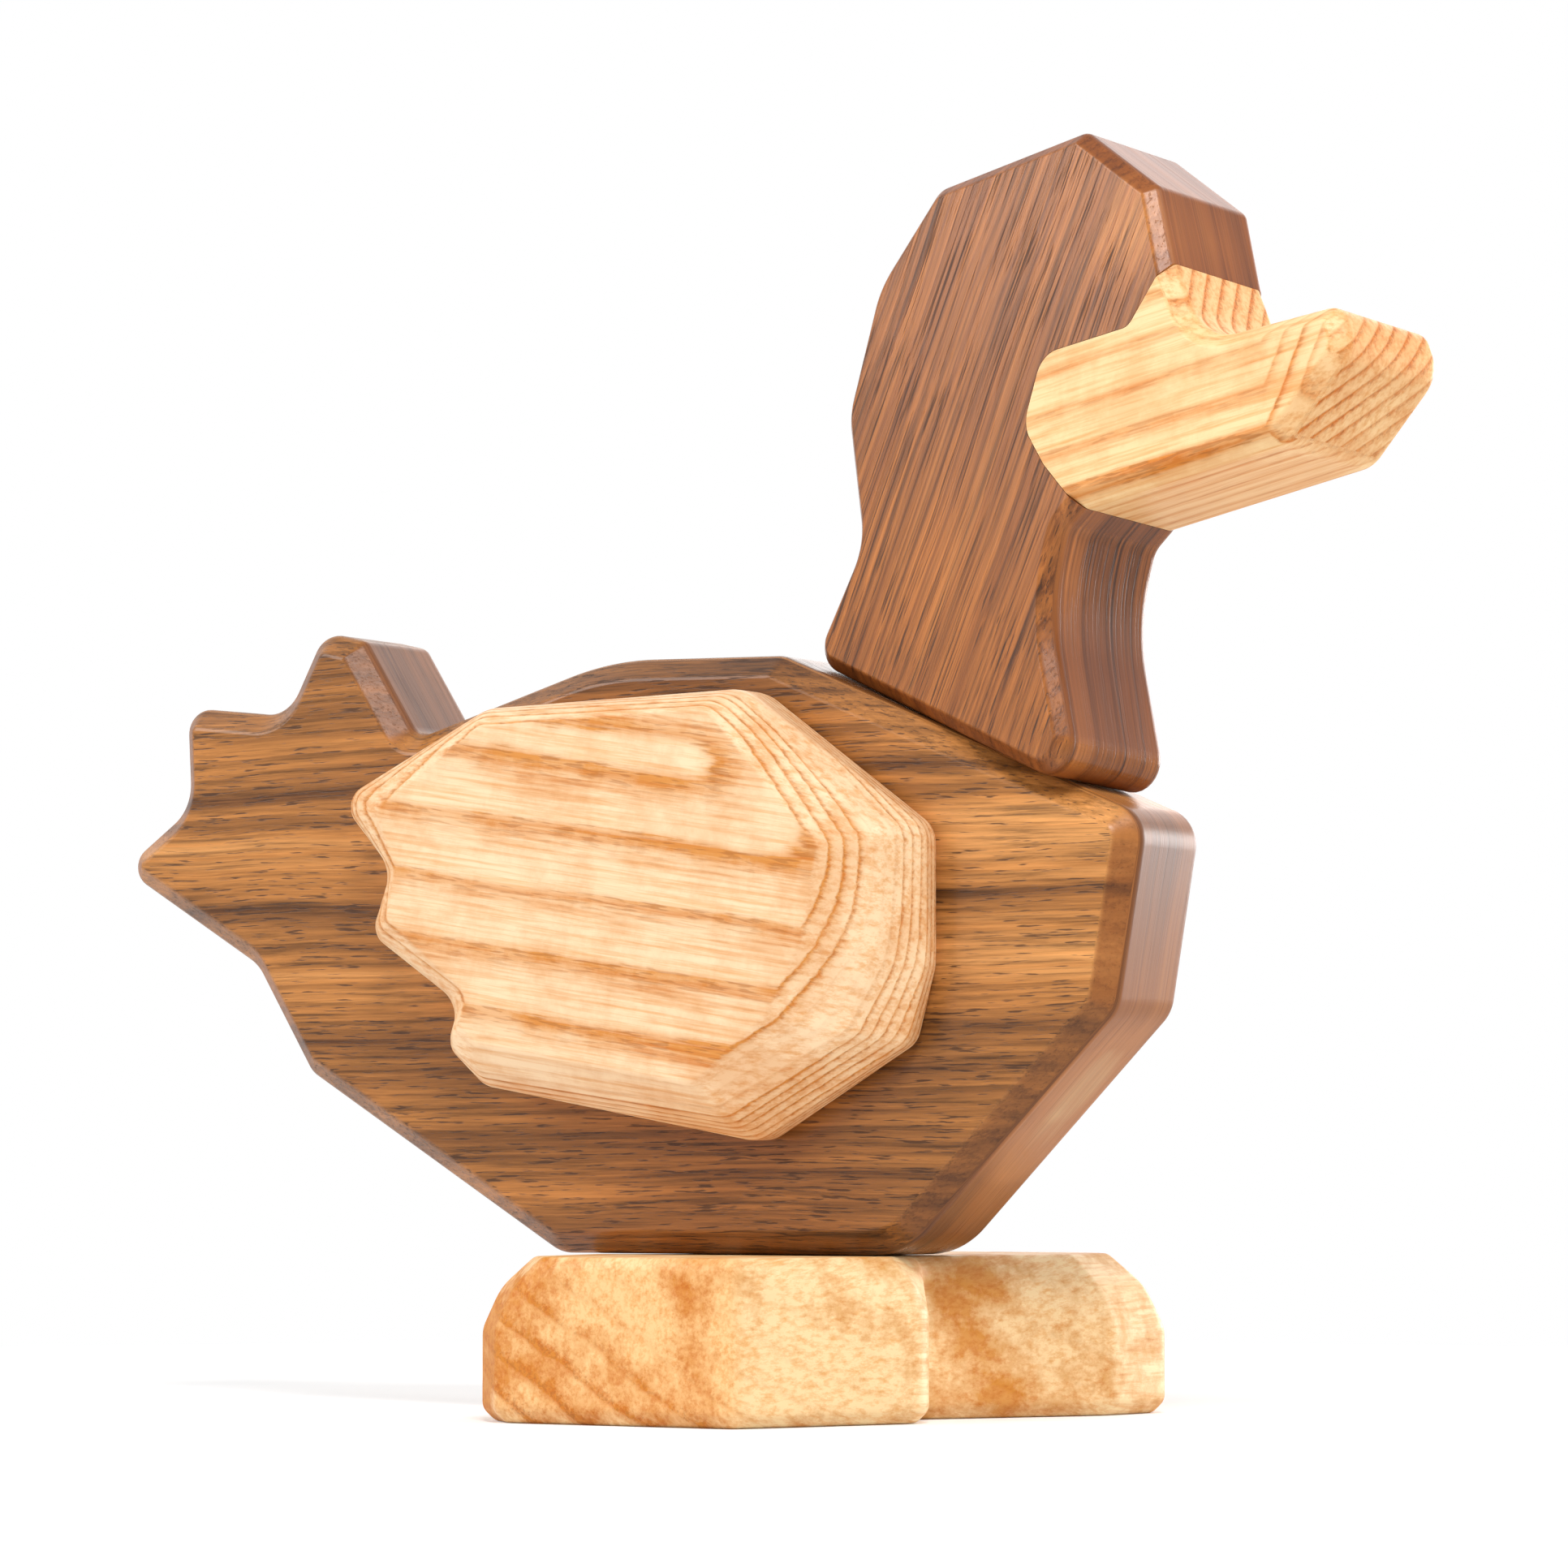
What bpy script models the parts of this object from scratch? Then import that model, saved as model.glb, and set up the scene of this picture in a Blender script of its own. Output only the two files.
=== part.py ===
# Wooden duck figure: a flat body board, a head board with an inlaid beak, a wing on
# each side and a pair of webbed feet cut from one block.
# Magnets hold the pieces together. Each one lies in a round pocket behind a thin
# wooden cover, so that the head, the wings and the feet turn on their seats and pull off.
# The duck faces +X. The origin is on the ground, on the swivel axis of the feet.

import math

import bmesh
import bpy
from mathutils import Matrix, Vector

for item in list(bpy.data.objects):
    bpy.data.objects.remove(item, do_unlink=True)

# Main sizes, in millimetres and degrees
MM = 0.001
BODY_LENGTH = 144.0
BODY_HEIGHT = 74.9
HEAD_LENGTH = 71.8
HEAD_HEIGHT = 68.0
WING_LENGTH = 78.6
WING_HEIGHT = 51.7
WING_THICKNESS = 10.0
FEET_LENGTH = 56.9
FEET_WIDTH = 68.8
FEET_HEIGHT = 18.6
BOARD_THICKNESS = 18.0

# Edges, seats and the gap between pieces that touch
BODY_CHAMFER = 2.5
HEAD_CHAMFER = 1.5
BEAK_CHAMFER = 1.8
WING_EDGE = 0.8
FEET_EDGE = 1.5
HEAD_SWIVEL = 14.0
SEAT_PIVOT_FROM_REAR = 28.1
WING_PIVOT = (-10.0, 44.5)
GAP = 0.3

# Hidden fittings: magnet discs behind covers as wide as they are
MAGNET_RADIUS = 5.0
MAGNET_THICKNESS = 4.0
COVER_THICKNESS = 2.0

# The outlines run anticlockwise, with each corner's radius last. They are stretched to
# the main sizes, and the radii stay.
# Body, seen from its right: (x, height above the belly, radius)
BREAST = (51.3, 48.6, 4.4)
BACK = (3.7, 68.8, 4.0)
BODY_OUTLINE = [
    (20.3, 0.0, 10.0),
    (47.6, 27.2, 4.7),
    BREAST,
    BACK,
    (-20.0, 69.4, 40.0),
    (-47.8, 61.4, 2.5),
    (-55.7, 73.5, 1.8),
    (-61.8, 74.9, 3.5),
    (-67.3, 64.9, 5.0),
    (-82.8, 66.6, 3.0),
    (-82.1, 54.2, 5.5),
    (-92.7, 46.9, 2.6),
    (-71.6, 34.5, 6.0),
    (-63.3, 21.4, 3.5),
    (-27.0, 0.0, 5.0),
]

# Head: (distance along the seat from its pivot, height above the neck's base, radius),
# with the line where the beak is let in first, from throat to brow
INLAY = [
    (6.3, 28.9, 0.0),
    (-0.6, 31.7, 2.0),
    (-5.5, 34.7, 4.0),
    (-6.6, 43.0, 3.5),
    (4.5, 49.5, 2.0),
    (6.4, 57.8, 0.0),
]
CROWN = [
    (0.4, 65.1, 1.5),
    (-13.0, 68.0, 1.8),
    (-32.2, 55.9, 3.0),
    (-36.2, 42.8, 12.0),
    (-33.9, 27.5, 8.0),
]
NECK = [
    (-24.6, 14.6, 8.0),
    (-25.7, 0.0, 3.5),
    (20.5, 0.0, 3.5),
    (6.4, 17.3, 24.0),
    (4.9, 26.0, 3.0),
]
BILL = [
    (31.3, 44.3, 4.0),
    (35.6, 56.3, 4.0),
    (31.5, 60.2, 2.5),
    (14.4, 51.0, 7.0),
]

# Wing, seen from its right and measured from its pivot: (x, height, radius, x and height
# of the crown's corner, height of the upright wall)
WING_SHAPE = [
    (-42.1, 8.9, 2.5, -34.5, 7.6, 7.2),
    (-33.9, 0.0, 5.0, -31.9, 0.4, 7.0),
    (-37.6, -7.0, 2.5, -33.0, -5.7, 7.0),
    (-24.3, -15.8, 4.0, -21.5, -14.4, 7.0),
    (-26.2, -20.5, 2.0, -22.6, -18.0, 7.0),
    (-21.5, -25.1, 4.0, -20.5, -20.1, 6.5),
    (14.8, -31.8, 5.0, 9.6, -25.2, 4.0),
    (34.1, -20.7, 3.0, 19.5, -17.7, 3.0),
    (36.5, -12.0, 6.0, 23.9, -10.0, 3.0),
    (36.5, 3.5, 3.5, 26.4, 1.4, 3.2),
    (13.9, 19.9, 6.0, 11.5, 17.4, 5.5),
    (-20.7, 19.0, 6.0, -19.8, 16.8, 7.0),
]

# Feet, seen from above: (x, y, radius, x and y of the top's corner, height of the upright
# wall), where the duck's right foot, at -y, is the one behind
FEET_SHAPE = [
    (-24.1, -26.5, 2.0, -18.5, -24.0, 10.5),
    (-18.5, -31.8, 2.0, -13.0, -30.3, 10.5),
    (-11.0, -31.8, 0.0, -9.5, -30.8, 17.4),
    (13.4, -31.8, 2.5, 12.8, -30.8, 17.4),
    (24.2, -7.5, 4.0, 19.5, -9.0, 12.5),
    (18.0, 0.5, 3.0, 17.0, 0.4, 17.0),
    (31.4, 22.0, 4.0, 25.5, 22.6, 10.0),
    (32.8, 33.5, 3.0, 25.8, 31.0, 10.0),
    (24.0, 37.0, 4.0, 21.5, 35.6, 15.5),
    (-8.0, 37.0, 4.0, -7.0, 36.0, 17.4),
    (-16.0, 30.0, 4.0, -15.0, 29.5, 17.4),
    (-10.0, 3.0, 4.0, -9.0, 3.0, 17.4),
    (-24.1, -5.0, 4.0, -22.3, -5.8, 15.5),
]

# How a carved side swells between its upright wall and its crown, as shares of the way
SWELL_ACROSS = 0.35
SWELL_UP = 0.62
CROWN_ROUND = 0.5

# Fineness of the shapes
ARC_STEPS = 5
DISC_SIDES = 32
LEAST_RADIUS = 0.2
CUTTER_STANDS_OUT = 1.0
SMOOTH_ANGLE = 30.0

# Places worked out from the sizes
HALF_BOARD = BOARD_THICKNESS / 2
BELLY_HEIGHT = FEET_HEIGHT + GAP
WING_BASE = HALF_BOARD + GAP
POCKET_RADIUS = MAGNET_RADIUS + GAP
POCKET_DEPTH = COVER_THICKNESS + GAP + MAGNET_THICKNESS + GAP

# Looks of the materials: colour, roughness, metallic value
WALNUT = ((0.23, 0.115, 0.06), 0.55, 0.0)
ASH = ((0.79, 0.58, 0.34), 0.55, 0.0)
NICKEL = ((0.62, 0.61, 0.58), 0.25, 1.0)


def add_material(piece, look):
    """Give the piece a material of its own."""
    color, roughness, metallic = look
    material = bpy.data.materials.new(piece.name)
    material.use_nodes = True
    shader = material.node_tree.nodes["Principled BSDF"]
    shader.inputs["Base Color"].default_value = (*color, 1.0)
    shader.inputs["Roughness"].default_value = roughness
    shader.inputs["Metallic"].default_value = metallic
    piece.data.materials.append(material)


def add_piece(name, shape, parent, look):
    """Turn a bmesh in millimetres into a named object in its parent's frame."""
    bmesh.ops.recalc_face_normals(shape, faces=shape.faces)
    bmesh.ops.scale(shape, vec=(MM, MM, MM), verts=shape.verts)
    mesh = bpy.data.meshes.new(name)
    shape.to_mesh(mesh)
    shape.free()
    mesh.shade_smooth()
    mesh.set_sharp_from_angle(angle=math.radians(SMOOTH_ANGLE))
    piece = bpy.data.objects.new(name, mesh)
    bpy.context.collection.objects.link(piece)
    piece.parent = parent
    add_material(piece, look)
    return piece


def add_pivot(name, place, parent=None, turn=None):
    """An empty that carries a piece; its origin lies on the piece's swivel axis."""
    pivot = bpy.data.objects.new(name, None)
    bpy.context.collection.objects.link(pivot)
    pivot.parent = parent
    pivot.matrix_local = Matrix.Translation(Vector(place) * MM) @ (turn or Matrix())
    return pivot


def stretch(length, height, *outlines):
    """Fit outlines that belong together to an overall length and height.

    Every column is a place along or up, except for the radius and what stands last."""
    rows = [row for outline in outlines for row in outline]
    along = length / (max(row[0] for row in rows) - min(row[0] for row in rows))
    upward = height / (max(row[1] for row in rows) - min(row[1] for row in rows))
    scales = (along, upward, 1.0, along, upward, 1.0)

    def fitted(row):
        return tuple(value * scale for value, scale in zip(row, scales))

    return [[fitted(row) for row in outline] for outline in outlines]


def edge_normal(start, end):
    """Unit vector to the left of an edge of an outline."""
    edge = Vector((end[0] - start[0], end[1] - start[1])).normalized()
    return Vector((-edge.y, edge.x))


def inset(corners, distances):
    """Move each edge of an anticlockwise outline inwards, keeping it parallel.

    Edge i runs from corner i to the next one. Rounds shrink on outer corners, grow on
    inner ones and stay sharp where they are sharp."""
    moved = []
    for i, (x, y, radius) in enumerate(corners):
        before = edge_normal(corners[i - 1], corners[i])
        after = edge_normal(corners[i], corners[(i + 1) % len(corners)])
        first, second = distances[i - 1], distances[i]
        bend = before.dot(after)
        average = (first + second) / 2
        step = (before + after) * average / (1 + bend)
        if first != second:
            step += (after - before) * (second - average) / (1 - bend)
        if radius:
            change = math.copysign(average, before.cross(after))
            radius = max(radius - change, LEAST_RADIUS)
        moved.append((x + step.x, y + step.y, radius))
    return moved


def points_at(radius):
    """How many points an outline has at a corner: one where it is sharp."""
    return ARC_STEPS + 1 if radius else 1


def rounded(corners):
    """Points of an outline whose corners are arcs; a radius of 0 is a sharp corner."""
    points = []
    for i, (x, y, radius) in enumerate(corners):
        if radius == 0:
            points.append((x, y))
            continue
        before = edge_normal(corners[i - 1], corners[i])
        after = edge_normal(corners[i], corners[(i + 1) % len(corners)])
        side = math.copysign(radius, before.cross(after))
        middle = before + after
        centre = Vector((x, y)) + middle * (side / (1 + before.dot(after)))
        start = math.atan2(-side * before.y, -side * before.x)
        sweep = math.atan2(before.cross(after), before.dot(after))
        for step in range(ARC_STEPS + 1):
            angle = start + sweep * step / ARC_STEPS
            points.append((centre.x + radius * math.cos(angle), centre.y + radius * math.sin(angle)))
    return points


def loft(rings):
    """A closed body through rings with the same number of points, capped at both ends."""
    shape = bmesh.new()
    loops = [[shape.verts.new(point) for point in ring] for ring in rings]
    for lower, upper in zip(loops, loops[1:]):
        for i in range(len(lower)):
            shape.faces.new((lower[i - 1], lower[i], upper[i], upper[i - 1]))
    shape.faces.new(loops[0])
    shape.faces.new(loops[-1])
    return shape


def board(corners, distances, chamfer):
    """A board on edge along the frame's X-Z plane, chamfered along both faces.

    The distances say how far each edge of the outline draws in over the chamfer."""
    edge = rounded(corners)
    face = rounded(inset(corners, distances))
    upright = HALF_BOARD - chamfer
    layers = [(-HALF_BOARD, face), (-upright, edge), (upright, edge), (HALF_BOARD, face)]
    return loft([[(x, y, z) for x, z in points] for y, points in layers])


def carved(rows, height, edge):
    """Rings of a block with upright walls that swell inwards to a smaller crown.

    Each ring is a list of (across, along, up) points, up being away from the base."""
    outline = [row[:3] for row in rows]
    crown = [(row[3], row[4], row[2] * CROWN_ROUND) for row in rows]
    walls = [row[5] for row in rows for _ in range(points_at(row[2]))]
    base = rounded(inset(outline, [edge] * len(outline)))
    side = rounded(outline)
    top = rounded(crown)
    swell = [(a[0] + (b[0] - a[0]) * SWELL_ACROSS, a[1] + (b[1] - a[1]) * SWELL_ACROSS)
             for a, b in zip(side, top)]
    return [
        [(x, y, 0.0) for x, y in base],
        [(x, y, edge) for x, y in side],
        [(x, y, wall) for (x, y), wall in zip(side, walls)],
        [(x, y, wall + (height - wall) * SWELL_UP) for (x, y), wall in zip(swell, walls)],
        [(x, y, height) for x, y in top],
    ]


def disc(radius, low, high, mouth, outward):
    """A cylinder on the axis through mouth along outward, between two heights on it."""
    shape = bmesh.new()
    middle = mouth + outward * (low + high) / 2
    place = Matrix.Translation(middle) @ outward.to_track_quat("Z", "Y").to_matrix().to_4x4()
    bmesh.ops.create_cone(shape, cap_ends=True, segments=DISC_SIDES, radius1=radius, radius2=radius,
                          depth=high - low, matrix=place)
    return shape


def add_magnet(owner, prefix, mouth, outward, wood):
    """Cut a round pocket into the owner and fill it with a magnet and a wooden cover."""
    mouth, outward = Vector(mouth), Vector(outward)
    parent = owner.parent
    hole = disc(POCKET_RADIUS, -POCKET_DEPTH, CUTTER_STANDS_OUT, mouth, outward)
    cutter = add_piece(prefix + "_pocket", hole, parent, wood)
    cutter.hide_render = True
    cutter.display_type = "WIRE"
    cut = owner.modifiers.new(prefix + "_pocket", "BOOLEAN")
    cut.operation = "DIFFERENCE"
    cut.solver = "EXACT"
    cut.object = cutter
    cover = disc(MAGNET_RADIUS, -COVER_THICKNESS, 0.0, mouth, outward)
    add_piece(prefix + "_cover", cover, parent, wood)
    magnet_top = -COVER_THICKNESS - GAP
    magnet = disc(MAGNET_RADIUS, magnet_top - MAGNET_THICKNESS, magnet_top, mouth, outward)
    add_piece(prefix + "_magnet", magnet, parent, NICKEL)


def make_body(frame, outline, seat_pivot, seat_up):
    """The body board, with magnets for the head, both wings and the feet."""
    shape = board(outline, [BODY_CHAMFER] * len(outline), BODY_CHAMFER)
    body = add_piece("body", shape, frame, WALNUT)
    wing_x, wing_z = WING_PIVOT
    add_magnet(body, "body_right", (wing_x, -HALF_BOARD, wing_z), (0, -1, 0), WALNUT)
    add_magnet(body, "body_left", (wing_x, HALF_BOARD, wing_z), (0, 1, 0), WALNUT)
    add_magnet(body, "seat", seat_pivot, seat_up, WALNUT)
    add_magnet(body, "belly", (0, 0, 0), (0, 0, -1), WALNUT)


def make_head(frame):
    """The head board and its beak, which meet along the inlay line."""
    outline, beak_outline = stretch(HEAD_LENGTH, HEAD_HEIGHT, INLAY + CROWN + NECK, INLAY[::-1] + BILL)
    inlaid = len(INLAY) - 1
    free = len(outline) - inlaid
    shape = board(outline, [0.0] * inlaid + [HEAD_CHAMFER] * free, HEAD_CHAMFER)
    head = add_piece("head", shape, frame, WALNUT)
    add_magnet(head, "head", (0, 0, 0), (0, 0, -1), WALNUT)

    free = len(beak_outline) - inlaid
    corners = inset(beak_outline, [GAP] * inlaid + [0.0] * free)
    shape = board(corners, [0.0] * inlaid + [BEAK_CHAMFER] * free, BEAK_CHAMFER)
    add_piece("beak", shape, frame, ASH)


def make_wing(name, frame, side):
    """A wing whose base lies against the body; side is -1 on the right and 1 on the left."""
    (outline,) = stretch(WING_LENGTH, WING_HEIGHT, WING_SHAPE)
    rings = carved(outline, WING_THICKNESS, WING_EDGE)
    shape = loft([[(x, side * up, z) for x, z, up in ring] for ring in rings])
    wing = add_piece(name, shape, frame, ASH)
    add_magnet(wing, name, (0, 0, 0), (0, -side, 0), ASH)


def make_feet(frame):
    """Both webbed feet, one ahead of the other, as one block."""
    (outline,) = stretch(FEET_LENGTH, FEET_WIDTH, FEET_SHAPE)
    feet = add_piece("feet", loft(carved(outline, FEET_HEIGHT, FEET_EDGE)), frame, ASH)
    add_magnet(feet, "feet", (0, 0, FEET_HEIGHT), (0, 0, 1), ASH)


def main():
    (outline,) = stretch(BODY_LENGTH, BODY_HEIGHT, BODY_OUTLINE)
    back, breast = (outline[BODY_OUTLINE.index(corner)] for corner in (BACK, BREAST))
    seat_along = Vector((breast[0] - back[0], 0, breast[1] - back[1])).normalized()
    seat_up = Vector((-seat_along.z, 0, seat_along.x))
    seat_pivot = Vector((back[0], 0, back[1])) + seat_along * SEAT_PIVOT_FROM_REAR
    body_frame = add_pivot("body_frame", (0, 0, BELLY_HEIGHT))
    make_body(body_frame, outline, seat_pivot, seat_up)

    tilt = Matrix.Rotation(math.atan2(seat_up.x, seat_up.z), 4, "Y")
    swivel = Matrix.Rotation(-math.radians(HEAD_SWIVEL), 4, "Z")
    make_head(add_pivot("head_pivot", seat_pivot + seat_up * GAP, body_frame, tilt @ swivel))

    wing_x, wing_z = WING_PIVOT
    make_wing("right_wing", add_pivot("right_wing_pivot", (wing_x, -WING_BASE, wing_z), body_frame), -1)
    make_wing("left_wing", add_pivot("left_wing_pivot", (wing_x, WING_BASE, wing_z), body_frame), 1)
    make_feet(add_pivot("feet_pivot", (0, 0, 0)))


main()
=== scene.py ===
# Wooden duck figure: oiled walnut boards with a beak, wings and feet of oiled ash.
# The wooden pieces stand in for the plain solids of the part's source, with edges
# sanded round. The magnets and their covers keep the solids and get a finish.
# All lengths are in millimetres, and each piece is scaled to metres at the end.

import math

import bmesh
import bpy
from mathutils import Matrix, Vector


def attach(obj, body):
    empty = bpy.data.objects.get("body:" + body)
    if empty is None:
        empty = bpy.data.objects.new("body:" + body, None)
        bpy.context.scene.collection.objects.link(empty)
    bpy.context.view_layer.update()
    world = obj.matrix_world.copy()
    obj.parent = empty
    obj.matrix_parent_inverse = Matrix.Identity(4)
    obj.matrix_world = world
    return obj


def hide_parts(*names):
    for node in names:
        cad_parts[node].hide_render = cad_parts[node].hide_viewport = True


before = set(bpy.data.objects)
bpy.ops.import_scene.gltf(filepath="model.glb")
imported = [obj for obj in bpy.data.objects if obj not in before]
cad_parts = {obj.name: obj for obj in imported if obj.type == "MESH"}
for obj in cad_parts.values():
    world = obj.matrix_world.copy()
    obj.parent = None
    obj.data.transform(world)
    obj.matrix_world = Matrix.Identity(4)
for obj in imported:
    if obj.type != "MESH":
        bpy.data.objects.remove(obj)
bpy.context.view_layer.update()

# Main sizes, as in the part's source
MM = 0.001
BODY_LENGTH = 144.0
BODY_HEIGHT = 74.9
HEAD_LENGTH = 71.8
HEAD_HEIGHT = 68.0
WING_LENGTH = 78.6
WING_HEIGHT = 51.7
WING_THICKNESS = 10.0
FEET_LENGTH = 56.9
FEET_WIDTH = 68.8
FEET_HEIGHT = 18.6
BOARD_THICKNESS = 18.0
HALF_BOARD = BOARD_THICKNESS / 2
GAP = 0.3
BELLY_HEIGHT = FEET_HEIGHT + GAP
WING_BASE = HALF_BOARD + GAP

BODY_CHAMFER = 2.5
HEAD_CHAMFER = 1.5
BEAK_CHAMFER = 1.8
WING_EDGE = 0.8
FEET_EDGE = 1.5
HEAD_SWIVEL = 14.0
SEAT_PIVOT_FROM_REAR = 28.1
WING_PIVOT = (-10.0, 44.5)
POCKET_RADIUS = 5.3
POCKET_DEPTH = 6.6
CUTTER_STANDS_OUT = 1.0

# How far sanding reaches on each side of an edge
BODY_SANDING = 0.6
HEAD_SANDING = 0.45
WING_SANDING = 0.5
FEET_SANDING = 0.8
# The joint line between the head and the beak, as wide as a real glue line looks
GLUE_LINE = 0.06
# How much closer each side of a seat lies than its solid does, which leaves a dark line
SEAT_CLOSER = 0.1

# Fineness of the shapes
ARC_STEPS = 10
SANDED_STEPS = 4
POCKET_SIDES = 48
LEAST_RADIUS = 0.2
# Edges that turn further than this, in degrees, are shaded as sharp
SHARP_TURN = 50.0

# Outlines: (x, height above the belly, radius), anticlockwise
BREAST = (51.3, 48.6, 4.4)
BACK = (3.7, 68.8, 4.0)
BODY_OUTLINE = [
    (20.3, 0.0, 10.0),
    (47.6, 27.2, 4.7),
    BREAST,
    BACK,
    (-20.0, 69.4, 40.0),
    (-47.8, 61.4, 2.5),
    (-55.7, 73.5, 1.8),
    (-61.8, 74.9, 3.5),
    (-67.3, 64.9, 5.0),
    (-82.8, 66.6, 3.0),
    (-82.1, 54.2, 5.5),
    (-92.7, 46.9, 2.6),
    (-71.6, 34.5, 6.0),
    (-63.3, 21.4, 3.5),
    (-27.0, 0.0, 5.0),
]

# Head: (distance along the seat from its pivot, height above the neck's base, radius),
# with the line where the beak is let in first, from throat to brow
INLAY = [
    (6.3, 28.9, 0.0),
    (-0.6, 31.7, 2.0),
    (-5.5, 34.7, 4.0),
    (-6.6, 43.0, 3.5),
    (4.5, 49.5, 2.0),
    (6.4, 57.8, 0.0),
]
CROWN = [
    (0.4, 65.1, 1.5),
    (-13.0, 68.0, 1.8),
    (-32.2, 55.9, 3.0),
    (-36.2, 42.8, 12.0),
    (-33.9, 27.5, 8.0),
]
NECK = [
    (-24.6, 14.6, 8.0),
    (-25.7, 0.0, 3.5),
    (20.5, 0.0, 3.5),
    (6.4, 17.3, 24.0),
    (4.9, 26.0, 3.0),
]
BILL = [
    (31.3, 44.3, 4.0),
    (35.6, 56.3, 4.0),
    (31.5, 60.2, 2.5),
    (14.4, 51.0, 7.0),
]

# Wing, from its pivot: (x, height, radius, x and height of the crown's corner, height of
# the upright wall)
WING_SHAPE = [
    (-42.1, 8.9, 2.5, -34.5, 7.6, 7.2),
    (-33.9, 0.0, 5.0, -31.9, 0.4, 7.0),
    (-37.6, -7.0, 2.5, -33.0, -5.7, 7.0),
    (-24.3, -15.8, 4.0, -21.5, -14.4, 7.0),
    (-26.2, -20.5, 2.0, -22.6, -18.0, 7.0),
    (-21.5, -25.1, 4.0, -20.5, -20.1, 6.5),
    (14.8, -31.8, 5.0, 9.6, -25.2, 4.0),
    (34.1, -20.7, 3.0, 19.5, -17.7, 3.0),
    (36.5, -12.0, 6.0, 23.9, -10.0, 3.0),
    (36.5, 3.5, 3.5, 26.4, 1.4, 3.2),
    (13.9, 19.9, 6.0, 11.5, 17.4, 5.5),
    (-20.7, 19.0, 6.0, -19.8, 16.8, 7.0),
]

# Feet, seen from above: (x, y, radius, x and y of the top's corner, height of the wall)
FEET_SHAPE = [
    (-24.1, -26.5, 2.0, -18.5, -24.0, 10.5),
    (-18.5, -31.8, 2.0, -13.0, -30.3, 10.5),
    (-11.0, -31.8, 0.0, -9.5, -30.8, 17.4),
    (13.4, -31.8, 2.5, 12.8, -30.8, 17.4),
    (24.2, -7.5, 4.0, 19.5, -9.0, 12.5),
    (18.0, 0.5, 3.0, 17.0, 0.4, 17.0),
    (31.4, 22.0, 4.0, 25.5, 22.6, 10.0),
    (32.8, 33.5, 3.0, 25.8, 31.0, 10.0),
    (24.0, 37.0, 4.0, 21.5, 35.6, 15.5),
    (-8.0, 37.0, 4.0, -7.0, 36.0, 17.4),
    (-16.0, 30.0, 4.0, -15.0, 29.5, 17.4),
    (-10.0, 3.0, 4.0, -9.0, 3.0, 17.4),
    (-24.1, -5.0, 4.0, -22.3, -5.8, 15.5),
]

# How a carved side swells between its upright wall and its crown, as shares of the way
SWELL_ACROSS = 0.35
SWELL_UP = 0.57
# Radii of the crown's corners, as a share of the outline's
CROWN_ROUND = 0.5
# How far in from the outline the flat base starts, and how far the sanding of its edge
# reaches, both in widths of that edge
BASE_FLAT = 1.6
BASE_ROUND = 0.5
# How much further sanding reaches where the wall starts to swell
SWELL_ROUND = 2.0
# Points closer together than this are one
SAME_POINT = 0.0005

# How deep the relief of the fibres and of the nickel plate is, in metres
FIBRE_DEPTH = 0.0001
PEEL_DEPTH = 0.00002
# Lower than any place in the grain, in millimetres
NO_LIMIT = -1000.0


def linear(hex_color):
    """Turn an sRGB hex colour into the linear colour that a shader takes."""
    shares = [int(hex_color[i:i + 2], 16) / 255 for i in (1, 3, 5)]
    light = [s / 12.92 if s <= 0.04045 else ((s + 0.055) / 1.055) ** 2.4 for s in shares]
    return (*light, 1.0)


def add(tree, kind, inputs=None, stops=None, **settings):
    """Add a node with its settings, its values, the sockets that feed it and its ramp."""
    node = tree.nodes.new(kind)
    for name, value in settings.items():
        setattr(node, name, value)
    for name, value in (inputs or {}).items():
        if isinstance(value, bpy.types.NodeSocket):
            tree.links.new(value, node.inputs[name])
        else:
            node.inputs[name].default_value = value
    if stops:
        ramp = node.color_ramp
        while len(ramp.elements) < len(stops):
            ramp.elements.new(1.0)
        for element, (position, color) in zip(ramp.elements, stops):
            element.position = position
            element.color = color
    return node


def grey(value):
    """A grey of a given strength for a ramp that steers something else."""
    return (value, value, value, 1.0)


def new_material(name, roughness, ior, specular=0.5, metallic=0.0):
    """An empty material with its principled shader."""
    material = bpy.data.materials.new(name)
    material.use_nodes = True
    tree = material.node_tree
    shader = tree.nodes["Principled BSDF"]
    shader.inputs["Roughness"].default_value = roughness
    shader.inputs["IOR"].default_value = ior
    shader.inputs["Specular IOR Level"].default_value = specular
    shader.inputs["Metallic"].default_value = metallic
    return material, tree, shader


def seen_white(tree):
    """1 where the camera, a reflection or a clear piece looks, and 0 for other light."""
    ray = add(tree, "ShaderNodeLightPath").outputs
    seen = add(tree, "ShaderNodeMath", {0: ray["Is Camera Ray"], 1: ray["Is Glossy Ray"]},
               operation="MAXIMUM").outputs[0]
    return add(tree, "ShaderNodeMath", {0: seen, 1: ray["Is Transmission Ray"]},
               operation="MAXIMUM").outputs[0]


def in_grain(tree, origin, turn):
    """Where a spot lies in the grain, in millimetres, and which way its face looks there."""
    here = add(tree, "ShaderNodeTexCoord").outputs
    grain = add(tree, "ShaderNodeMapping", {"Vector": here["Object"], "Location": origin, "Rotation": turn,
                                            "Scale": (MM, MM, MM)}, vector_type="TEXTURE").outputs[0]
    facing = add(tree, "ShaderNodeMapping", {"Vector": here["Normal"], "Rotation": turn},
                 vector_type="TEXTURE").outputs[0]
    return grain, add(tree, "ShaderNodeSeparateXYZ", {0: facing})


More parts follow.
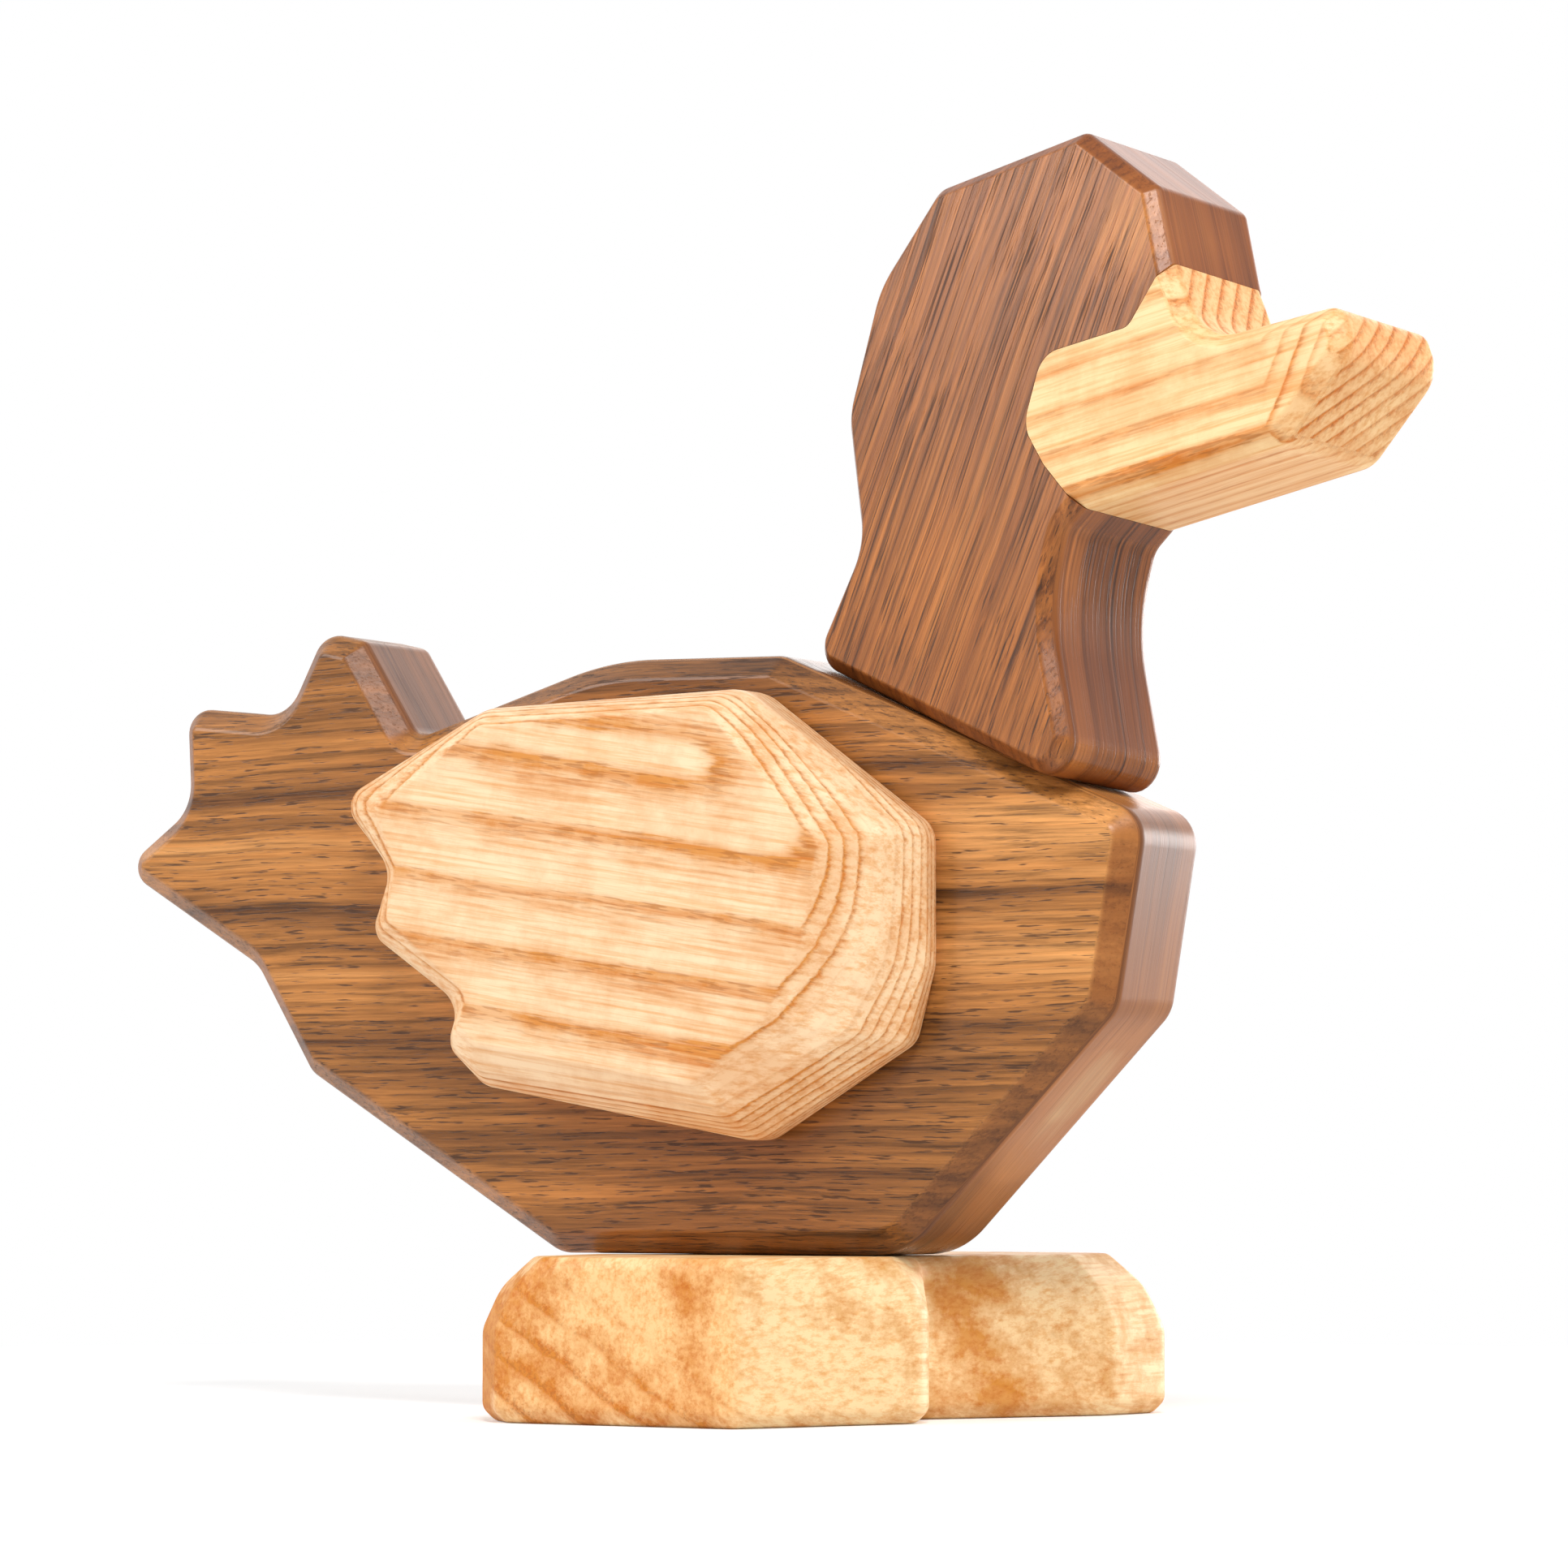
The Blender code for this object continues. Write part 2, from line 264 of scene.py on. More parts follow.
def stretched_noise(tree, spot, start, rates, detail, roughness=0.5):
    """Noise from a start of its own that changes at other rates along each axis, per mm."""
    place = add(tree, "ShaderNodeMapping", {"Vector": spot, "Location": start, "Scale": rates}).outputs[0]
    return add(tree, "ShaderNodeTexNoise", {"Vector": place, "Scale": 1.0, "Detail": detail,
                                            "Roughness": roughness}).outputs


def finish(tree, shader, color, roughness, relief, strength, depth):
    """Give the shader a colour, a roughness and a relief, whose depth is in metres."""
    bump = add(tree, "ShaderNodeBump", {"Height": relief, "Strength": strength,
                                        "Distance": depth}).outputs[0]
    for name, source in (("Base Color", color), ("Roughness", roughness), ("Normal", bump)):
        tree.links.new(source, shader.inputs[name])


def profile(tree, value, points):
    """A grey that follows points (place, lying) along another value."""
    low, high = points[0][0], points[-1][0]
    share = add(tree, "ShaderNodeMapRange", {"Value": value, "From Min": low, "From Max": high}).outputs[0]
    return add(tree, "ShaderNodeValToRGB", {"Fac": share}, stops=[
        ((place - low) / (high - low), grey(level)) for place, level in points]).outputs["Color"]


def patched(tree, spot, value, patches):
    """Raise or lower a value softly inside ellipsoids: (centre, radii, change)."""
    for centre, radii, change in patches:
        inside = add(tree, "ShaderNodeMapping", {"Vector": spot, "Location": centre, "Scale": radii},
                     vector_type="TEXTURE").outputs[0]
        soft = add(tree, "ShaderNodeTexGradient", {"Vector": inside},
                   gradient_type="SPHERICAL").outputs["Fac"]
        value = add(tree, "ShaderNodeMath", {0: soft, 1: change, 2: value},
                    operation="MULTIPLY_ADD").outputs[0]
    return value


def stretch(length, height, *outlines):
    """Fit outlines that belong together to an overall length and height.

    Every column is a place along or up, except for the radius and what stands last."""
    rows = [row for outline in outlines for row in outline]
    along = length / (max(row[0] for row in rows) - min(row[0] for row in rows))
    upward = height / (max(row[1] for row in rows) - min(row[1] for row in rows))
    scales = (along, upward, 1.0, along, upward, 1.0)

    def fitted(row):
        return tuple(value * scale for value, scale in zip(row, scales))

    return [[fitted(row) for row in outline] for outline in outlines]


def edge_normal(start, end):
    """Unit vector to the left of an edge of an outline."""
    edge = Vector((end[0] - start[0], end[1] - start[1])).normalized()
    return Vector((-edge.y, edge.x))


def inset(corners, distances):
    """Move each edge of an anticlockwise outline inwards, keeping it parallel.

    Edge i runs from corner i to the next one. Rounds shrink on outer corners, grow on
    inner ones and stay sharp where they are sharp."""
    moved = []
    for i, (x, y, radius) in enumerate(corners):
        before = edge_normal(corners[i - 1], corners[i])
        after = edge_normal(corners[i], corners[(i + 1) % len(corners)])
        first, second = distances[i - 1], distances[i]
        bend = before.dot(after)
        average = (first + second) / 2
        step = (before + after) * average / (1 + bend)
        if first != second:
            step += (after - before) * (second - average) / (1 - bend)
        if radius:
            change = math.copysign(average, before.cross(after))
            radius = max(radius - change, LEAST_RADIUS)
        moved.append((x + step.x, y + step.y, radius))
    return moved


def rounded(corners):
    """Points of an outline whose corners are arcs; a radius of 0 is a sharp corner."""
    points = []
    for i, (x, y, radius) in enumerate(corners):
        if radius == 0:
            points.append((x, y))
            continue
        before = edge_normal(corners[i - 1], corners[i])
        after = edge_normal(corners[i], corners[(i + 1) % len(corners)])
        side = math.copysign(radius, before.cross(after))
        middle = before + after
        centre = Vector((x, y)) + middle * (side / (1 + before.dot(after)))
        start = math.atan2(-side * before.y, -side * before.x)
        sweep = math.atan2(before.cross(after), before.dot(after))
        for step in range(ARC_STEPS + 1):
            angle = start + sweep * step / ARC_STEPS
            points.append((centre.x + radius * math.cos(angle), centre.y + radius * math.sin(angle)))
    return points


def sanded(rings, cuts):
    """Round off the edge along each inner ring, by its cut on either side of the edge.

    The rings come back with the places where a round starts or ends, for sharp edges."""
    soft = [rings[0]]
    borders = []
    for before, ring, after, cut in zip(rings, rings[1:], rings[2:], cuts):
        ends = []
        for a, b, c in zip(before, ring, after):
            start = b + (a - b).normalized() * min(cut, (a - b).length / 2)
            end = b + (c - b).normalized() * min(cut, (c - b).length / 2)
            ends.append((start, b, end))
        borders.append(len(soft))
        for step in range(SANDED_STEPS + 1):
            t = step / SANDED_STEPS
            soft.append([a * (1 - t) ** 2 + b * 2 * t * (1 - t) + c * t * t for a, b, c in ends])
        borders.append(len(soft) - 1)
    soft.append(rings[-1])
    return soft, borders


def loft(rings, borders):
    """A closed body through rings, capped at both ends, sharp along the rounds' borders."""
    shape = bmesh.new()
    loops = [[shape.verts.new(point) for point in ring] for ring in rings]
    for lower, upper in zip(loops, loops[1:]):
        for i in range(len(lower)):
            shape.faces.new((lower[i - 1], lower[i], upper[i], upper[i - 1]))
    shape.faces.new(loops[0])
    shape.faces.new(loops[-1])
    for border in borders:
        loop = loops[border]
        for i in range(len(loop)):
            edge = shape.edges.get((loop[i - 1], loop[i]))
            edge.smooth = False
    return shape


def board(corners, distances, chamfer, sanding):
    """A board on edge along the frame's X-Z plane, chamfered along both faces.

    The distances say how far each edge of the outline draws in over the chamfer; an
    edge that doesn't draw in is a glued joint, and isn't sanded either."""
    edge = rounded(corners)
    face = rounded(inset(corners, distances))
    deeper = [distance + sanding if distance else 0.0 for distance in distances]
    flat = rounded(inset(corners, deeper))
    upright = HALF_BOARD - chamfer
    layers = [(-HALF_BOARD, flat), (-HALF_BOARD, face), (-upright, edge),
              (upright, edge), (HALF_BOARD, face), (HALF_BOARD, flat)]
    rings = [[Vector((x, y, z)) for x, z in points] for y, points in layers]
    return loft(*sanded(rings, [sanding] * 4))


def carved(rows, low, height, edge, sanding):
    """Rings of a block with upright walls that swell inwards to a smaller crown.

    Each ring is a list of (across, along, up) points, up being away from the base, which
    lies at the height low."""
    outline = [row[:3] for row in rows]
    crown = [(row[3], row[4], row[2] * CROWN_ROUND) for row in rows]
    walls = []
    for row in rows:
        walls += [row[5]] * (ARC_STEPS + 1 if row[2] else 1)
    under = rounded(inset(outline, [edge * BASE_FLAT] * len(outline)))
    base = rounded(inset(outline, [edge] * len(outline)))
    side = rounded(outline)
    top = rounded(crown)
    flat = rounded(inset(crown, [sanding] * len(crown)))
    swell = [(a[0] + (b[0] - a[0]) * SWELL_ACROSS, a[1] + (b[1] - a[1]) * SWELL_ACROSS)
             for a, b in zip(side, top)]
    rings = [
        [Vector((x, y, low)) for x, y in under],
        [Vector((x, y, low)) for x, y in base],
        [Vector((x, y, edge)) for x, y in side],
        [Vector((x, y, wall)) for (x, y), wall in zip(side, walls)],
        [Vector((x, y, wall + (height - wall) * SWELL_UP)) for (x, y), wall in zip(swell, walls)],
        [Vector((x, y, height)) for x, y in top],
        [Vector((x, y, height)) for x, y in flat],
    ]
    foot = edge * BASE_ROUND
    return sanded(rings, [foot, foot, sanding, sanding * SWELL_ROUND, sanding])


def pocket(mouth, outward):
    """The round pocket of a magnet and its cover, as a cutter."""
    shape = bmesh.new()
    mouth, outward = Vector(mouth), Vector(outward)
    middle = mouth + outward * (CUTTER_STANDS_OUT - POCKET_DEPTH) / 2
    place = Matrix.Translation(middle) @ outward.to_track_quat("Z", "Y").to_matrix().to_4x4()
    bmesh.ops.create_cone(shape, cap_ends=True, segments=POCKET_SIDES, radius1=POCKET_RADIUS,
                          radius2=POCKET_RADIUS, depth=CUTTER_STANDS_OUT + POCKET_DEPTH, matrix=place)
    return shape


def to_object(name, shape, place):
    """Put a bmesh in its place in millimetres, scale it to metres and make it an object."""
    bmesh.ops.remove_doubles(shape, verts=shape.verts, dist=SAME_POINT)
    bmesh.ops.recalc_face_normals(shape, faces=shape.faces)
    bmesh.ops.transform(shape, matrix=Matrix.Scale(MM, 4) @ place, verts=shape.verts)
    for face in shape.faces:
        face.smooth = True
    mesh = bpy.data.meshes.new(name)
    shape.to_mesh(mesh)
    shape.free()
    piece = bpy.data.objects.new(name, mesh)
    bpy.context.collection.objects.link(piece)
    return piece


def wooden(name, shape, place, pockets, material, body, node):
    """A finished wooden piece: cut its pockets, and let it stand for its solid."""
    piece = to_object(name, shape, place)
    for mouth, outward in pockets:
        cutter = to_object("pocket_cutter", pocket(mouth, outward), place)
        cut = piece.modifiers.new("pocket", "BOOLEAN")
        cut.operation = "DIFFERENCE"
        cut.solver = "EXACT"
        cut.object = cutter
        evaluated = piece.evaluated_get(bpy.context.evaluated_depsgraph_get())
        mesh = bpy.data.meshes.new_from_object(evaluated)
        piece.modifiers.remove(cut)
        piece.data = mesh
        bpy.data.objects.remove(cutter, do_unlink=True)
    mesh = piece.data
    mesh.name = name
    shape = bmesh.new()
    shape.from_mesh(mesh)
    for edge in shape.edges:
        if edge.calc_face_angle(0.0) > math.radians(SHARP_TURN):
            edge.smooth = False
    shape.to_mesh(mesh)
    shape.free()
    mesh.materials.clear()
    mesh.materials.append(material)
    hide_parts(node)
    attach(piece, body)


def oiled_walnut(name, origin, turn, streak, pore, line, seed, tones, bands, patches):
    """Black walnut, planed, sanded and oiled.

    To the eye: a warm brown with darker growth bands along the grain, fine fibre
    streaks, and open pores that show as short dark dashes. The oil leaves a low sheen.
    A streak and a pore are given by how fast they change along and across the grain, per
    mm, and the growth lines by the distance between them and their darkness. The bands
    are (mm across the grain, tone), from 0 for dark to 1 for light heartwood and 1.6 for
    sapwood."""
    material, tree, shader = new_material(name, 0.25, 1.5, 0.3)
    grain, facing = in_grain(tree, origin, turn)

    # No board grows straight: its pattern drifts by a few millimetres
    drift = stretched_noise(tree, grain, (seed, 0, 0), (0.016, 0.03, 0.03), 2.0)["Color"]
    centred = add(tree, "ShaderNodeVectorMath", {0: drift, 1: (0.5, 0.5, 0.5)},
                  operation="SUBTRACT").outputs[0]
    shift = add(tree, "ShaderNodeVectorMath", {0: centred, 1: (0.0, 3.5, 3.5)},
                operation="MULTIPLY").outputs[0]
    wavy = add(tree, "ShaderNodeVectorMath", {0: grain, 1: shift}, operation="ADD").outputs[0]

    # The edge of a board shows the lines of its thickness alone
    flat_on = add(tree, "ShaderNodeMath", {0: facing.outputs["Y"]}, operation="ABSOLUTE").outputs[0]
    face = add(tree, "ShaderNodeMapRange", {"Value": flat_on, "From Min": 0.35, "From Max": 0.6}).outputs[0]
    kept = add(tree, "ShaderNodeCombineXYZ", {"X": 1.0, "Y": 1.0, "Z": face}).outputs[0]
    wavy = add(tree, "ShaderNodeVectorMath", {0: wavy, 1: kept}, operation="MULTIPLY").outputs[0]

    # Fibre streaks, 0.4 to 1 mm wide
    fibre = stretched_noise(tree, wavy, (seed, 5, 2), streak, 5.0, 0.7)["Fac"]

    # Growth bands, 2 to 10 mm wide and as long as the board
    height = add(tree, "ShaderNodeSeparateXYZ", {0: wavy}).outputs["Z"]
    board_tone = profile(tree, height, bands)
    cloudy = stretched_noise(tree, wavy, (seed, 3, 7), (0.014, 0.12, 0.5), 5.0, 0.65)["Fac"]
    cloud = add(tree, "ShaderNodeMapRange", {"Value": cloudy, "From Min": 0.3, "From Max": 0.7,
                                             "To Min": -0.22, "To Max": 0.22}).outputs[0]
    tone = add(tree, "ShaderNodeMath", {0: board_tone, 1: cloud}, operation="ADD").outputs[0]
    tone = patched(tree, wavy, tone, patches)

    # Growth lines: each year closes with a thin dark one
    spacing, darkness = line
    years = add(tree, "ShaderNodeVectorMath", {0: wavy, 1: (0.0, 0.4 / spacing, 1.0 / spacing)},
                operation="DOT_PRODUCT").outputs["Value"]
    frayed = add(tree, "ShaderNodeMath", {0: fibre, 1: 1.6, 2: years}, operation="MULTIPLY_ADD").outputs[0]
    year = add(tree, "ShaderNodeMath", {0: frayed}, operation="FRACT").outputs[0]
    close = add(tree, "ShaderNodeValToRGB", {"Fac": year}, stops=[
        (0.0, grey(0.2)), (0.1, grey(1.0)), (0.36, grey(0.0)), (0.9, grey(0.0)),
        (1.0, grey(0.2))]).outputs["Color"]
    tone = add(tree, "ShaderNodeMath", {0: close, 1: -darkness, 2: tone},
               operation="MULTIPLY_ADD").outputs[0]

    # The tone as a colour, with the fibre streaks over it
    share = add(tree, "ShaderNodeMapRange", {"Value": tone, "From Max": TONES_AT[-1]}).outputs[0]
    plain = add(tree, "ShaderNodeValToRGB", {"Fac": share}, stops=[
        (at / TONES_AT[-1], linear(color)) for at, color in zip(TONES_AT, tones)]).outputs["Color"]
    fibre_tone = add(tree, "ShaderNodeValToRGB", {"Fac": fibre}, stops=[
        (0.34, grey(0.42)), (0.48, grey(0.9)), (0.64, grey(1.25))]).outputs["Color"]

    # Where a cut runs across the grain, fibres and pores are seen end on, as fine dots
    along = add(tree, "ShaderNodeMath", {0: facing.outputs["X"]}, operation="ABSOLUTE").outputs[0]
    drawn = add(tree, "ShaderNodeMapRange", {"Value": along, "From Min": 0.2, "From Max": 0.5,
                                             "To Min": 1.0, "To Max": 0.3}).outputs[0]
    streaked = add(tree, "ShaderNodeMix", {0: drawn, 6: plain, 7: fibre_tone},
                   data_type="RGBA", blend_type="MULTIPLY").outputs[2]

    # Open pores, 0.3 mm across and 2 to 20 mm long, closer together in the dark bands
    pore_noise = stretched_noise(tree, wavy, (seed, 1, 9), pore, 2.0)["Fac"]
    crowd = add(tree, "ShaderNodeMath", {0: tone, 1: -0.09, 2: pore_noise},
                operation="MULTIPLY_ADD").outputs[0]
    dash = add(tree, "ShaderNodeValToRGB", {"Fac": crowd}, stops=[
        (0.54, grey(0.0)), (0.61, grey(1.0))]).outputs["Color"]
    pores = add(tree, "ShaderNodeMath", {0: dash, 1: drawn}, operation="MULTIPLY").outputs[0]
    pore_share = add(tree, "ShaderNodeMath", {0: pores, 1: 0.8}, operation="MULTIPLY").outputs[0]
    color = add(tree, "ShaderNodeMix", {0: pore_share, 6: streaked, 7: linear("#3a210f")},
                data_type="RGBA").outputs[2]

    # Edges cut across the grain drink more oil and turn darker
    end = add(tree, "ShaderNodeMapRange", {"Value": along, "From Min": 0.3, "From Max": 0.65}).outputs[0]
    color = add(tree, "ShaderNodeMix", {0: end, 6: color, 7: linear("#cfbda9")},
                data_type="RGBA", blend_type="MULTIPLY").outputs[2]

    # The pores and the end grain are dull, and the raised fibres shine a little more
    gloss = add(tree, "ShaderNodeMapRange", {"Value": fibre, "From Min": 0.3, "From Max": 0.7,
                                             "To Min": 0.28, "To Max": 0.21}).outputs[0]
    rough = add(tree, "ShaderNodeMath", {0: pore_share, 1: 0.3, 2: gloss},
                operation="MULTIPLY_ADD").outputs[0]
    rough = add(tree, "ShaderNodeMath", {0: end, 1: 0.12, 2: rough}, operation="MULTIPLY_ADD").outputs[0]
    relief = add(tree, "ShaderNodeMath", {0: fibre, 1: pores}, operation="SUBTRACT").outputs[0]
    finish(tree, shader, color, rough, relief, 0.2, FIBRE_DEPTH)
    return material


def oiled_ash(name, origin, turn, layers, heart, bend, ring, phase, fray, wander, years, seed,
              tones, end_tint, blotch, patches=(), front_layers=None):
    """White ash, carved, sanded and oiled.

    To the eye: a pale cream wood with an orange brown line of coarse pores at the start
    of each year's growth, which fades into the pale late wood. Where the cut runs along
    the rings, the lines widen to bands and close to flames round the heart. Blotches of
    oil show where it soaked into the end grain.
    The layers say how fast the depth of the rings grows along each axis, and the bend how
    closely they lie round the heart. The years are (depth, strength)."""
    material, tree, shader = new_material(name, 0.45, 1.5, 0.32)
    grain, facing = in_grain(tree, origin, turn)
    if front_layers:
        ahead = add(tree, "ShaderNodeMapRange", {"Value": facing.outputs["X"], "From Min": 0.5,
                                                 "From Max": 0.6}).outputs[0]
        layers = add(tree, "ShaderNodeMix", {0: ahead, 4: layers, 5: front_layers},
                     data_type="VECTOR").outputs[1]

    # Depth through the growth rings: flat layers, and shells that close beyond the heart
    flat = add(tree, "ShaderNodeVectorMath", {0: grain, 1: layers}, operation="DOT_PRODUCT").outputs["Value"]
    off = add(tree, "ShaderNodeVectorMath", {0: grain, 1: heart}, operation="SUBTRACT").outputs[0]
    beyond = add(tree, "ShaderNodeVectorMath", {0: off, 1: (0.0, NO_LIMIT, NO_LIMIT)},
                 operation="MAXIMUM").outputs[0]
    shell = add(tree, "ShaderNodeVectorMath", {0: beyond, 1: bend}, operation="MULTIPLY").outputs[0]
    sides = add(tree, "ShaderNodeVectorMath", {0: shell}, operation="ABSOLUTE").outputs[0]
    side = add(tree, "ShaderNodeSeparateXYZ", {0: sides})
    shut = add(tree, "ShaderNodeMath", {0: side.outputs["X"], 1: side.outputs["Z"], 2: ring * 0.7},
               operation="SMOOTH_MAX").outputs[0]
    depth = add(tree, "ShaderNodeMath", {0: flat, 1: shut}, operation="ADD").outputs[0]
    drift = stretched_noise(tree, grain, (seed, 2, 5), (0.022, 0.05, 0.09), 2.0)["Fac"]
    depth = add(tree, "ShaderNodeMath", {0: drift, 1: wander, 2: depth}, operation="MULTIPLY_ADD").outputs[0]

    # Fibres, 0.4 to 1 mm wide and 10 to 30 mm long
    fibre = stretched_noise(tree, grain, (seed, 8, 1), (0.045, 1.4, 1.4), 4.0, 0.7)["Fac"]
    frayed = add(tree, "ShaderNodeMath", {0: fibre, 1: ring * fray, 2: depth},
                 operation="MULTIPLY_ADD").outputs[0]
    age = add(tree, "ShaderNodeMath", {0: frayed, 1: 1 / ring, 2: phase},
              operation="MULTIPLY_ADD").outputs[0]
    year = add(tree, "ShaderNodeMath", {0: age}, operation="FRACT").outputs[0]
    line = add(tree, "ShaderNodeValToRGB", {"Fac": year}, stops=[
        (0.0, grey(0.3)), (0.06, grey(1.0)), (0.16, grey(0.75)), (0.34, grey(0.22)),
        (0.6, grey(0.03)), (0.94, grey(0.0)), (1.0, grey(0.3))]).outputs["Color"]

    # Some years are strong and some faint
    vigour = stretched_noise(tree, grain, (seed, 4, 4), (0.02, 0.07, 0.12), 1.0)["Fac"]
    strength = add(tree, "ShaderNodeMapRange", {"Value": vigour, "From Min": 0.35, "From Max": 0.65,
                                                "To Min": 0.6, "To Max": 1.0}).outputs[0]
    vivid = add(tree, "ShaderNodeMath", {0: strength, 1: profile(tree, depth, years)},
                operation="MULTIPLY").outputs[0]
    lined = add(tree, "ShaderNodeMath", {0: line, 1: vivid}, operation="MULTIPLY").outputs[0]

    # Oil soaks in unevenly, in patches of 5 to 12 mm
    patch = add(tree, "ShaderNodeTexNoise", {"Vector": grain, "Scale": 0.11, "Detail": 6.0,
                                             "Roughness": 0.68}).outputs["Fac"]
    patch = patched(tree, grain, patch, patches)
    soaked = add(tree, "ShaderNodeMapRange", {"Value": patch, "From Min": 0.43, "From Max": 0.63,
                                              "To Max": blotch}).outputs[0]
    dark = add(tree, "ShaderNodeMath", {0: lined, 1: soaked}, operation="ADD", use_clamp=True).outputs[0]
    wood = add(tree, "ShaderNodeMix", {0: dark, 6: linear(tones[0]), 7: linear(tones[1])},
               data_type="RGBA").outputs[2]
    fibre_tone = add(tree, "ShaderNodeValToRGB", {"Fac": fibre}, stops=[
        (0.32, linear("#eac08a")), (0.56, grey(1.0))]).outputs["Color"]
    streaked = add(tree, "ShaderNodeMix", {0: 0.8, 6: wood, 7: fibre_tone},
                   data_type="RGBA", blend_type="MULTIPLY").outputs[2]

    # End grain drinks more oil than the sides
    along = add(tree, "ShaderNodeMath", {0: facing.outputs["X"]}, operation="ABSOLUTE").outputs[0]
    end = add(tree, "ShaderNodeMapRange", {"Value": along, "From Min": 0.2, "From Max": 1.0}).outputs[0]
    streaked = add(tree, "ShaderNodeMix", {0: end, 6: streaked, 7: linear(end_tint)},
                   data_type="RGBA", blend_type="MULTIPLY").outputs[2]

    # Coarse pores of the early wood, 0.4 mm across and 2 to 5 mm long
    pore_noise = stretched_noise(tree, grain, (seed, 6, 3), (0.3, 2.6, 2.6), 1.0)["Fac"]
    pores = add(tree, "ShaderNodeValToRGB", {"Fac": pore_noise}, stops=[
        (0.52, grey(0.0)), (0.6, grey(1.0))]).outputs["Color"]
    open_pores = add(tree, "ShaderNodeMath", {0: pores, 1: lined}, operation="MULTIPLY").outputs[0]
    pore_share = add(tree, "ShaderNodeMath", {0: open_pores, 1: 0.65}, operation="MULTIPLY").outputs[0]
    color = add(tree, "ShaderNodeMix", {0: pore_share, 6: streaked, 7: linear("#a5632b")},
                data_type="RGBA").outputs[2]

    # Late wood is dense and takes more sheen than the porous early wood
    rough = add(tree, "ShaderNodeMapRange", {"Value": dark, "To Min": 0.42, "To Max": 0.6}).outputs[0]
    relief = add(tree, "ShaderNodeMath", {0: fibre, 1: open_pores}, operation="SUBTRACT").outputs[0]
    finish(tree, shader, color, rough, relief, 0.35, FIBRE_DEPTH)
    return material


def nickel_plate():
    """Bright nickel plate on a sintered magnet disc, tumbled before plating.

    To the eye: a warm silvery mirror that is slightly clouded, with faint orange peel."""
    material, tree, shader = new_material("tumbled_nickel_plate", 0.2, 1.5, metallic=1.0)
    spot = add(tree, "ShaderNodeTexCoord").outputs["Object"]
    # Orange peel about 0.4 mm across, and clouds about 3 mm across
    peel = add(tree, "ShaderNodeTexNoise", {"Vector": spot, "Scale": 2500.0, "Detail": 2.0}).outputs["Fac"]
    cloud = add(tree, "ShaderNodeTexNoise", {"Vector": spot, "Scale": 330.0, "Detail": 3.0}).outputs["Fac"]
    color = add(tree, "ShaderNodeMix", {0: cloud, 6: linear("#cfcac0"), 7: linear("#bdb8ae")},
                data_type="RGBA").outputs[2]
    rough = add(tree, "ShaderNodeMapRange", {"Value": cloud, "From Min": 0.3, "From Max": 0.7,
                                             "To Min": 0.16, "To Max": 0.3}).outputs[0]
    finish(tree, shader, color, rough, peel, 0.15, PEEL_DEPTH)
    return material


# Frames of the pieces, in millimetres
(body_outline,) = stretch(BODY_LENGTH, BODY_HEIGHT, BODY_OUTLINE)
back, breast = (body_outline[BODY_OUTLINE.index(corner)] for corner in (BACK, BREAST))
seat_along = Vector((breast[0] - back[0], 0, breast[1] - back[1])).normalized()
seat_up = Vector((-seat_along.z, 0, seat_along.x))
seat_pivot = Vector((back[0], 0, back[1])) + seat_along * SEAT_PIVOT_FROM_REAR

body_place = Matrix.Translation((0, 0, BELLY_HEIGHT))
tilt = Matrix.Rotation(math.atan2(seat_up.x, seat_up.z), 4, "Y")
swivel = Matrix.Rotation(-math.radians(HEAD_SWIVEL), 4, "Z")
head_place = body_place @ Matrix.Translation(seat_pivot + seat_up * GAP) @ tilt @ swivel
wing_x, wing_z = WING_PIVOT


def grain_frame(place, turn):
    """Where a pattern lies: its origin in metres, and its turn with X along the grain."""
    turned = place @ turn
    return turned.translation * MM, turned.to_euler()


# Growth bands across a board: (millimetres from its lower edge, tone)
BODY_BANDS = [
    (0, 0.35), (6, 0.45), (10, 0.5), (12.5, 0.34), (15, 0.5), (19, 0.45), (21, 0.28), (22.5, 0.45),
    (24.5, 0.24), (26.5, 0.45), (30, 0.6), (33, 0.78), (35.5, 0.6), (36.6, 0.38), (38.5, 0.55),
    (40.2, 0.2), (41, 0.08), (42.2, 0.5), (45, 0.65), (49, 0.82), (50.6, 0.66), (51.8, 0.36),
    (53.5, 0.5), (55.2, 0.14), (56.4, 0.5), (60, 0.58), (64, 0.45), (70, 0.42), (75, 0.35),
]
# Patches of the body: paler towards the breast at mid height, darker low down and along the back. The facets
# along its edge count as height 0 here. Those round the breast are painted much paler, up to the sapwood
# tones, as painted light from the floor and from ahead.
BODY_TONE_AND_LIGHT_PATCHES = [
    ((42, 0, 42), (40, 60, 24), 0.3),
    ((24, 0, 6), (45, 60, 24), -0.2),
    ((0, 0, 70), (50, 60, 12), -0.3),
    # Painted light: the edge facets round the breast are painted paler, for light from the floor and from
    # ahead
    ((43, 0, 0), (8, 13, 4), 1.0),
    ((36, 0, 0), (8, 13, 4), 1.1),
    ((29, 0, 0), (8, 13, 4), 0.6),
]
# Across the head, from its face towards its nape
HEAD_BANDS = [
    (-8, 0.5), (-5, 0.44), (-2, 0.52), (1, 0.42), (4, 0.58), (6.5, 0.48), (9, 0.58), (12, 0.5),
    (15, 0.62), (17, 0.48), (19, 0.4), (22, 0.52), (25, 0.44), (29, 0.54), (33, 0.46), (38, 0.5),
]
